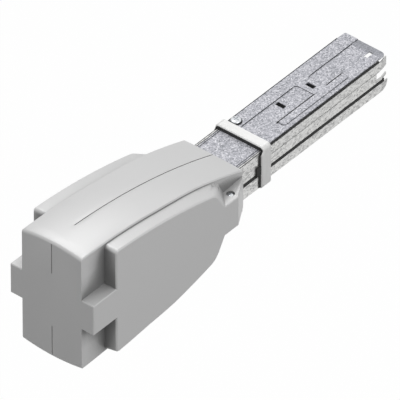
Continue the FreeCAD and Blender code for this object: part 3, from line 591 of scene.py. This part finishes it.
def screw_tree():
    """Screw with threaded shank, domed or hexagon head and slot or cross, repeated in a row."""
    inputs = (
        ("Head Sides", "Int"), ("Head Radius", "Float"), ("Head Height", "Float"),
        ("Dome Height", "Float"), ("Shank Radius", "Float"), ("Shank Length", "Float"),
        ("Thread Pitch", "Float"), ("Thread Depth", "Float"),
        ("Slot Width", "Float"), ("Slot Depth", "Float"), ("Cross", "Bool"),
        ("Turn", "Vector"), ("First Place", "Vector"), ("Spacing", "Vector"), ("Count", "Int"),
        ("Material", "Material"),
    )
    tree, size = new_tree("threaded_screw", inputs)
    rim = add(tree, MATH, {0: size["Head Height"], 1: size["Dome Height"]}, operation="SUBTRACT")
    half_rim = add(tree, MATH, {0: rim, 1: 0.5}, operation="MULTIPLY")
    disc = {"Vertices": size["Head Sides"], "Radius": size["Head Radius"], "Depth": rim}
    disc = add(tree, "GeometryNodeMeshCylinder", disc)
    lift = add(tree, "ShaderNodeCombineXYZ", {"Z": half_rim})
    disc = add(tree, "GeometryNodeTransform", {"Geometry": disc, "Translation": lift})
    ball = {"Segments": ROUND_SIDES, "Rings": ROUND_SIDES // 2, "Radius": 1.0}
    ball = add(tree, "GeometryNodeMeshUVSphere", ball)
    flatten = {"X": size["Head Radius"], "Y": size["Head Radius"], "Z": size["Dome Height"]}
    flatten = add(tree, "ShaderNodeCombineXYZ", flatten)
    lift = add(tree, "ShaderNodeCombineXYZ", {"Z": rim})
    dome = {"Geometry": ball, "Translation": lift, "Scale": flatten}
    dome = add(tree, "GeometryNodeTransform", dome)
    domed = {"A": size["Dome Height"], "B": 0.0}
    domed = add(tree, "FunctionNodeCompare", domed, operation="GREATER_THAN")
    dome = add(tree, "GeometryNodeSwitch", {"Switch": domed, "True": dome}, input_type="GEOMETRY")
    # The cutters of slot and cross stand half out of the head
    reach = {0: size["Head Radius"], 1: SLOT_LENGTH}
    reach = add(tree, MATH, reach, operation="MULTIPLY")
    deep = add(tree, MATH, {0: size["Slot Depth"], 1: 2.0}, operation="MULTIPLY")
    lift = add(tree, "ShaderNodeCombineXYZ", {"Z": size["Head Height"]})
    slot = add(tree, "ShaderNodeCombineXYZ", {"X": reach, "Y": size["Slot Width"], "Z": deep})
    slot = add(tree, "GeometryNodeMeshCube", {"Size": slot})
    slot = add(tree, "GeometryNodeTransform", {"Geometry": slot, "Translation": lift})
    across = add(tree, "ShaderNodeCombineXYZ", {"X": size["Slot Width"], "Y": reach, "Z": deep})
    across = add(tree, "GeometryNodeMeshCube", {"Size": across})
    across = add(tree, "GeometryNodeTransform", {"Geometry": across, "Translation": lift})
    across = {"Switch": size["Cross"], "True": across}
    across = add(tree, "GeometryNodeSwitch", across, input_type="GEOMETRY")
    head = add(tree, "GeometryNodeJoinGeometry", {"Geometry": [disc, dome]})
    cut = {"Mesh 1": head, "Mesh 2": [slot, across], "Self Intersection": True}
    head = add(tree, "GeometryNodeMeshBoolean", cut, operation="DIFFERENCE", solver="EXACT")
    core = {0: size["Shank Radius"], 1: size["Thread Depth"]}
    core = add(tree, MATH, core, operation="SUBTRACT")
    drop = add(tree, MATH, {0: size["Shank Length"], 1: -0.5}, operation="MULTIPLY")
    drop = add(tree, "ShaderNodeCombineXYZ", {"Z": drop})
    shank = {"Vertices": SHANK_SIDES, "Radius": core, "Depth": size["Shank Length"]}
    shank = add(tree, "GeometryNodeMeshCylinder", shank)
    shank = add(tree, "GeometryNodeTransform", {"Geometry": shank, "Translation": drop})
    # The thread stops its own depth short of the head and of the tip
    clear = add(tree, MATH, {0: size["Thread Depth"], 1: 2.0}, operation="MULTIPLY")
    run = add(tree, MATH, {0: size["Shank Length"], 1: clear}, operation="SUBTRACT")
    turns = add(tree, MATH, {0: run, 1: size["Thread Pitch"]}, operation="DIVIDE")
    helix = {
        "Resolution": THREAD_STEPS, "Rotations": turns,
        "Start Radius": core, "End Radius": core, "Height": run,
    }
    helix = add(tree, "GeometryNodeCurveSpiral", helix)
    ridge = {"Resolution": RIDGE_SIDES, "Radius": size["Thread Depth"]}
    ridge = add(tree, "GeometryNodeCurvePrimitiveCircle", ridge, mode="RADIUS")
    thread = {"Curve": helix, "Profile Curve": ridge, "Fill Caps": True}
    thread = add(tree, "GeometryNodeCurveToMesh", thread)
    foot = {0: size["Thread Depth"], 1: size["Shank Length"]}
    foot = add(tree, MATH, foot, operation="SUBTRACT")
    foot = add(tree, "ShaderNodeCombineXYZ", {"Z": foot})
    thread = add(tree, "GeometryNodeTransform", {"Geometry": thread, "Translation": foot})
    screw = add(tree, "GeometryNodeJoinGeometry", {"Geometry": [head, shank, thread]})
    row = {"Count": size["Count"], "Start Location": size["First Place"], "Offset": size["Spacing"]}
    row = add(tree, "GeometryNodeMeshLine", row)
    turn = add(tree, "FunctionNodeEulerToRotation", {0: size["Turn"]})
    row = {"Points": row, "Instance": screw, "Rotation": turn}
    row = add(tree, "GeometryNodeInstanceOnPoints", row)
    row = add(tree, "GeometryNodeRealizeInstances", {"Geometry": row})
    row = add(tree, "GeometryNodeSetMaterial", {"Geometry": row, "Material": size["Material"]})
    add(tree, "NodeGroupOutput", {"Geometry": row})
    return tree


def strip_tree():
    """Narrow strip swept along the edges of the piece's own mesh, with rounded bends."""
    inputs = (
        ("Path", "Geometry"), ("Strip Width", "Float"), ("Strip Depth", "Float"),
        ("Bend Radius", "Float"), ("Material", "Material"),
    )
    tree, size = new_tree("laid_strip", inputs)
    path = add(tree, "GeometryNodeMeshToCurve", {"Mesh": size["Path"]})
    path = {"Curve": path, "Count": BEND_STEPS, "Radius": size["Bend Radius"], "Limit Radius": True}
    path = add(tree, "GeometryNodeFilletCurve", path, mode="POLY")
    path = add(tree, "GeometryNodeSetCurveNormal", {"Curve": path}, mode="Z_UP")
    section = {"Width": size["Strip Width"], "Height": size["Strip Depth"]}
    section = add(tree, "GeometryNodeCurvePrimitiveQuadrilateral", section, mode="RECTANGLE")
    strip = {"Curve": path, "Profile Curve": section, "Fill Caps": True}
    strip = add(tree, "GeometryNodeCurveToMesh", strip)
    strip = add(tree, "GeometryNodeRealizeInstances", {"Geometry": strip})
    strip = add(tree, "GeometryNodeSetMaterial", {"Geometry": strip, "Material": size["Material"]})
    add(tree, "NodeGroupOutput", {"Geometry": strip})
    return tree


threaded_screw = screw_tree()
laid_strip = strip_tree()


def grow(piece, tree, sizes):
    """Runs a tree on a piece with the named sizes and keeps the plain mesh it makes."""
    modifier = piece.modifiers.new(tree.name, "NODES")
    modifier.node_group = tree
    for item in tree.interface.items_tree:
        if item.in_out == "INPUT" and item.name in sizes:
            modifier[item.identifier] = sizes[item.name]
    settle(piece)
    piece.data.shade_smooth()
    piece.data.set_sharp_from_angle(angle=SMOOTH_ANGLE)


# Screws in millimetres: the head's radius is to its corners, shank is a radius, slot a width
Screw = namedtuple("Screw", "sides radius height dome shank pitch slot depth cross")
HEX_SIDES = 6
HEX_CORNER = 2 / math.sqrt(3)
SHELL_SCREW = Screw(ROUND_SIDES, 3.1, 2.4, 1.3, 2.0, 0.7, 0.9, 1.0, False)
LOCK_SCREW = Screw(ROUND_SIDES, 4.3, 3.0, 1.6, 2.5, 0.8, 1.0, 1.2, True)
TERMINAL_SCREW = Screw(HEX_SIDES, 2.5 * HEX_CORNER, 3.0, 0.0, 2.0, 0.8, 0.9, 1.0, False)
SMALL_SCREW = Screw(HEX_SIDES, 3.3 * HEX_CORNER, 2.8, 0.0, 2.0, 0.7, 0.9, 1.0, True)

# Depth of a thread as a share of its pitch
THREAD_SHARE = 0.45

# Nodes made of screws: kind, how many in the row along Y, and whether the heads hang below
SCREW_NODES = {
    "left_shell_screw": (SHELL_SCREW, 1, False),
    "right_shell_screw": (SHELL_SCREW, 1, False),
    "joint_lock_screw": (LOCK_SCREW, 1, False),
    "carrier_screws": (SMALL_SCREW, 2, True),
    "terminal_fixing_screws": (SMALL_SCREW, 2, False),
    "cable_clamp_screws": (SMALL_SCREW, 2, False),
}
for pole in ("l1", "l2", "l3", "n", "pe"):
    SCREW_NODES["terminal_screw_" + pole] = (TERMINAL_SCREW, 1, False)


def screws(node):
    """Threaded screws in place of a CAD node's plain ones."""
    screw, count, hanging = SCREW_NODES[node]
    low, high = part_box(node)
    half_width = screw.radius * MM / (HEX_CORNER if screw.sides == HEX_SIDES else 1.0)
    seat = low.z + screw.height * MM if hanging else high.z - screw.height * MM
    sizes = {
        "Head Sides": screw.sides,
        "Head Radius": screw.radius * MM,
        "Head Height": screw.height * MM,
        "Dome Height": screw.dome * MM,
        "Shank Radius": screw.shank * MM,
        "Shank Length": high.z - low.z - screw.height * MM,
        "Thread Pitch": screw.pitch * MM,
        "Thread Depth": THREAD_SHARE * screw.pitch * MM,
        "Slot Width": screw.slot * MM,
        "Slot Depth": screw.depth * MM,
        "Cross": screw.cross,
        "Turn": (math.pi if hanging else 0.0, 0.0, 0.0),
        "First Place": ((low.x + high.x) / 2, low.y + half_width, seat),
        "Spacing": (0.0, high.y - low.y - 2 * half_width, 0.0),
        "Count": count,
        "Material": look(node),
    }
    piece = new_piece("threaded_" + node, bpy.data.meshes.new("threaded_" + node))
    grow(piece, threaded_screw, sizes)
    stand_for(piece, node)


# Strips and boxes that draw panel edges, lips, the housing's seam and the long slots; the dark ones
# are painted shade

# Material slots that they take
STEEL = "galvanised_steel"
RUBBER = "black_rubber"

# Sections in millimetres: width, depth and the radius of bends
PANEL_EDGE = (0.32, 0.7, 3.0)
PANEL_END_EDGE = (0.12, 0.5, 3.0)
BEAD_EDGE = (0.16, 0.3, 3.0)
FLANGE_EDGE = (0.7, 0.5, 0.0)
# Black strips in the two slits are painted shade
SLIT_PAINTED_SHADE = (0.9, 0.55, 0.0)
LIP_EDGE = (0.45, 0.5, 0.0)
LIP_STEP = (2.1, 0.6, 0.0)
SEAM_SHADE_LINE = (0.45, 0.5, 0.0)
SCREW_SHADOW_RING = (0.8, 0.5, 0.0)


def at_level(level, *places):
    """Points in metres at one height, from places on the plan, all given in millimetres."""
    return [(x * MM, y * MM, level * MM) for x, y in places]


# The joint's near end, and heights of the strips on it, in millimetres
JOINT_START = 0.2
PANEL_LEVEL = 18.4
RIB_LEVEL = 18.95
FLANGE_LEVEL = 18.55
SLIT_LEVEL = 18.62
BEAD_LEVEL = 7.6

# The front and rear panels: left sides, where their rounded ends begin, the ends and their foot
FRONT_SIDE = 8.7
FRONT_TURN = 67.6
FRONT_END = 71.6
REAR_SIDE = 8.0
REAR_TURN = 88.6
REAR_END = 84.6
REAR_START = 148.3
PANEL_FOOT = -9.8
PANEL_PATHS = (
    at_level(PANEL_LEVEL, (JOINT_START, FRONT_SIDE), (FRONT_TURN, FRONT_SIDE)),
    at_level(PANEL_LEVEL, (REAR_START, REAR_SIDE), (REAR_TURN, REAR_SIDE)),
)
FRONT_PLACES = ((FRONT_TURN, FRONT_SIDE), (FRONT_END, FRONT_SIDE), (FRONT_END, PANEL_FOOT))
REAR_PLACES = ((REAR_TURN, REAR_SIDE), (REAR_END, REAR_SIDE), (REAR_END, PANEL_FOOT))
RIB_PLACES = ((105.8, -9.9), (106.6, -9.9), (106.6, -17.4), (25.6, -17.4), (25.6, -9.9))
PANEL_END_PATHS = (
    at_level(PANEL_LEVEL, *FRONT_PLACES),
    at_level(PANEL_LEVEL, *REAR_PLACES),
    at_level(RIB_LEVEL, *RIB_PLACES),
)

# Beads on both side plates, the left flange's edge and the two slits beside the rib
BEAD_SIDES = (-23.0, 23.0)
BEAD_END = 138.0
FLANGE_SIDE = 21.35
FLANGE_END = 139.0
SLIT_SIDE = -10.05
SLIT_ENDS = ((24.7, 71.5), (85.7, 105.5))
BEAD_PATHS = [at_level(BEAD_LEVEL, (JOINT_START, y), (BEAD_END, y)) for y in BEAD_SIDES]
FLANGE_PATHS = [at_level(FLANGE_LEVEL, (JOINT_START, FLANGE_SIDE), (FLANGE_END, FLANGE_SIDE))]
SLIT_PATHS = [at_level(SLIT_LEVEL, *((x, SLIT_SIDE) for x in ends)) for ends in SLIT_ENDS]

# Stub's lips in millimetres
LIP_ENDS = (-42.2, -9.8)
LIP_OFFSETS = (19.3, 21.15, 22.9)
LIP_TOP = 17.25
LIP_STEP_OFFSETS = (19.65,)
LIP_STEP_LEVEL = 17.0

# Black ring round the lock screw: painted shadow at the foot of its head
RING_PARTS = 36
RING_RADIUS = 4.75 * MM
RING_LEVEL = 18.95 * MM

# Black line of painted shade in the housing's seam: its ends in millimetres, and where the roof is
# felt for
SEAM_SHADE_FRONT = -212.0
SEAM_SHADE_REAR = -42.6
SEAM_SHADE_PARTS = 60
SEAM_SHADE_SUNK = 0.22 * MM
ROOF_FEELER_SIDE = 1.5 * MM
ROOF_FEELER_ABOVE = 1.0 * MM

# Left boxes in millimetres, repeated on the right: joint's upper and lower slots, stub's slot
SLOT_SHADE_BOXES = (
    ((0.2, 21.35, 16.2), (138.2, 22.35, 17.5)),
    ((0.2, 21.9, -5.5), (143.8, 23.06, -2.4)),
    ((-42.2, 21.6, -5.65), (-12.6, 23.06, -1.7)),
)


def lay_strips(name, paths, section, material, slot, body):
    """Lays strips of one section along paths, each a row of points in metres."""
    points = []
    edges = []
    for path in paths:
        edges += [(len(points) + k, len(points) + k + 1) for k in range(len(path) - 1)]
        points += path
    mesh = bpy.data.meshes.new(name)
    mesh.from_pydata(points, edges, [])
    piece = new_piece(name, mesh)
    width, depth, bend = (size * MM for size in section)
    sizes = {"Strip Width": width, "Strip Depth": depth, "Bend Radius": bend, "Material": material}
    grow(piece, laid_strip, sizes)
    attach(piece, body)


def lip_paths(offsets, level):
    """Lines along the stub's lips on both sides, at these distances from the middle."""
    sides = [side * offset for offset in offsets for side in (1, -1)]
    return [at_level(level, *((x, y) for x in LIP_ENDS)) for y in sides]


def screw_ring(node):
    """Points round a screw's head, back to the first."""
    low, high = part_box(node)
    centre = (low + high) / 2
    points = []
    for k in range(RING_PARTS + 1):
        turn = math.tau * k / RING_PARTS
        x = centre.x + RING_RADIUS * math.cos(turn)
        y = centre.y + RING_RADIUS * math.sin(turn)
        points.append((x, y, RING_LEVEL))
    return points


def slot_painted_shade(body):
    """Black boxes in the long slots along both sides: painted shade that shows the slots dark."""
    form = bmesh.new()
    for low, high in SLOT_SHADE_BOXES:
        for side in (1, -1):
            low_corner = Vector((low[0], side * low[1], low[2])) * MM
            high_corner = Vector((high[0], side * high[1], high[2])) * MM
            span = high_corner - low_corner
            centre = Matrix.Translation((low_corner + high_corner) / 2)
            stretch = Matrix.Diagonal((abs(span.x), abs(span.y), abs(span.z), 1.0))
            bmesh.ops.create_cube(form, size=1.0, matrix=centre @ stretch)
    mesh = bpy.data.meshes.new("slot_painted_shade")
    form.to_mesh(mesh)
    form.free()
    mesh.materials.append(slot_finish["black_rubber"])
    piece = new_piece("slot_painted_shade", mesh)
    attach(piece, body)


def parting_path(shell):
    """Points along the top of the seam between the halves, found on the left half's roof."""
    tree = BVHTree.FromObject(shell, bpy.context.evaluated_depsgraph_get())
    points = []
    for k in range(SEAM_SHADE_PARTS + 1):
        x = (SEAM_SHADE_FRONT + (SEAM_SHADE_REAR - SEAM_SHADE_FRONT) * k / SEAM_SHADE_PARTS) * MM
        feeler = Vector((x, ROOF_FEELER_SIDE, cad_high.z + ROOF_FEELER_ABOVE))
        hit = tree.ray_cast(feeler, Vector((0, 0, -1)))[0]
        points.append((x, 0.0, hit.z - SEAM_SHADE_SUNK))
    return points


# Studio


def seen_ray(tree):
    """1 for rays that show a surface, straight or in a reflection, 0 for those that light it."""
    ray = add(tree, "ShaderNodeLightPath", out="Is Camera Ray")
    paths = ray.node.outputs
    seen = add(tree, MATH, {0: ray, 1: paths["Is Glossy Ray"]}, operation="MAXIMUM")
    return add(tree, MATH, {0: seen, 1: paths["Is Transmission Ray"]}, operation="MAXIMUM")


def floor_paint():
    """White paint that shows white with a soft shadow, but throws back little light from below."""
    paint = bpy.data.materials.new("white_floor_paint")
    paint.use_nodes = True
    tree = paint.node_tree
    tree.nodes.clear()
    pale = add(tree, "ShaderNodeBsdfDiffuse", {"Color": colour("#FAFAFA")})
    glow = add(tree, "ShaderNodeEmission", {"Color": colour("#FFFFFF"), "Strength": 1.0})
    dull = add(tree, "ShaderNodeBsdfDiffuse", {"Color": colour("#606060")})
    shown = add(tree, "ShaderNodeMixShader", {0: FLOOR_GLOW, 1: pale, 2: glow})
    mixed = add(tree, "ShaderNodeMixShader", {0: seen_ray(tree), 1: dull, 2: shown})
    add(tree, "ShaderNodeOutputMaterial", {"Surface": mixed})
    return paint


def studio(glossy_pieces):
    """Pale floor far below, softboxes behind and to the right, and an even sky."""
    world = bpy.data.worlds.new("studio_sky")
    scene.world = world
    world.use_nodes = True
    tree = world.node_tree
    tree.nodes.clear()
    level = add(tree, RANGE, {"Value": seen_ray(tree), "To Min": SKY_LEVEL, "To Max": 1.0})
    sky = add(tree, "ShaderNodeBackground", {"Color": colour("#FFFFFF"), "Strength": level})
    add(tree, "ShaderNodeOutputWorld", {"Surface": sky})
    glossy = bpy.data.collections.new("glossy_mouldings")
    for piece in glossy_pieces:
        glossy.objects.link(piece)
    for name, direction, distance, width, power in SOFTBOXES:
        lamp = bpy.data.lights.new(name, "AREA")
        lamp.shape = "DISK"
        lamp.size = width
        lamp.energy = power
        away = Vector(direction).normalized()
        holder = new_piece(name, lamp)
        if name == STREAK:
            holder.visible_diffuse = False
            holder.light_linking.receiver_collection = glossy
        holder.location = LAMP_AIM + away * distance
        holder.rotation_euler = (-away).to_track_quat("-Z", "Y").to_euler()
    sides = ((-1, -1), (1, -1), (1, 1), (-1, 1))
    corners = [(x * FLOOR_REACH, y * FLOOR_REACH, cad_low.z - FLOOR_DROP) for x, y in sides]
    mesh = bpy.data.meshes.new("pale_floor")
    mesh.from_pydata(corners, [], [(0, 1, 2, 3)])
    mesh.materials.append(floor_paint())
    new_piece("pale_floor", mesh)


def photograph_camera():
    """Camera at the photograph's angle, framed on the same spot at the same scale."""
    azimuth = math.radians(VIEW_AZIMUTH)
    elevation = math.radians(VIEW_ELEVATION)
    level = math.cos(elevation)
    back = Vector((math.sin(azimuth) * level, -math.cos(azimuth) * level, math.sin(elevation)))
    data = bpy.data.cameras.new("photograph_camera")
    data.lens = LENS
    data.sensor_width = SENSOR
    data.clip_end = CLIP_FAR
    camera = new_piece("photograph_camera", data)
    camera.location = VIEW_TARGET + back * (VIEW_WIDTH * LENS / SENSOR)
    camera.rotation_euler = (-back).to_track_quat("-Z", "Y").to_euler()
    scene.camera = camera


scene.view_settings.view_transform = "Standard"
soft = {}
for node in slot_of_node:
    mesh = nodes[node].data
    mesh.materials.clear()
    mesh.materials.append(look(node))
    if node in SCREW_NODES:
        screws(node)
    else:
        soft[node] = soften(node)

# Black rubber finish for the strips of painted shade in the slits, the seam and round the lock
# screw
painted_shade_black = slot_finish[RUBBER]
chassis = body_of_node["contact_block"]
left_shell = body_of_node["left_half_shell"]
lip_edges = lip_paths(LIP_OFFSETS, LIP_TOP)
lip_steps = lip_paths(LIP_STEP_OFFSETS, LIP_STEP_LEVEL)
seam = [parting_path(soft["left_half_shell"])]
ring = [screw_ring("joint_lock_screw")]

# Name, paths, section, finish, slot and body
strip_rows = (
    ("panel_edges", PANEL_PATHS, PANEL_EDGE, painted_shade_lines, STEEL, chassis),
    ("panel_end_edges", PANEL_END_PATHS, PANEL_END_EDGE, painted_shade_lines, STEEL, chassis),
    ("bead_edges", BEAD_PATHS, BEAD_EDGE, painted_shade_lines, STEEL, chassis),
    ("flange_edge", FLANGE_PATHS, FLANGE_EDGE, painted_shade_lines, STEEL, chassis),
    ("slit_painted_shade", SLIT_PATHS, SLIT_PAINTED_SHADE, painted_shade_black, RUBBER, chassis),
    ("lip_edges", lip_edges, LIP_EDGE, painted_shade_lines, STEEL, chassis),
    ("lip_steps", lip_steps, LIP_STEP, spangled, STEEL, chassis),
    ("seam_painted_shade", seam, SEAM_SHADE_LINE, painted_shade_black, RUBBER, left_shell),
    ("lock_screw_painted_shadow", ring, SCREW_SHADOW_RING, painted_shade_black, RUBBER, chassis),
)
for row in strip_rows:
    lay_strips(*row)
slot_painted_shade(chassis)
studio([soft[node] for node in GLOSSY_NODES])
photograph_camera()
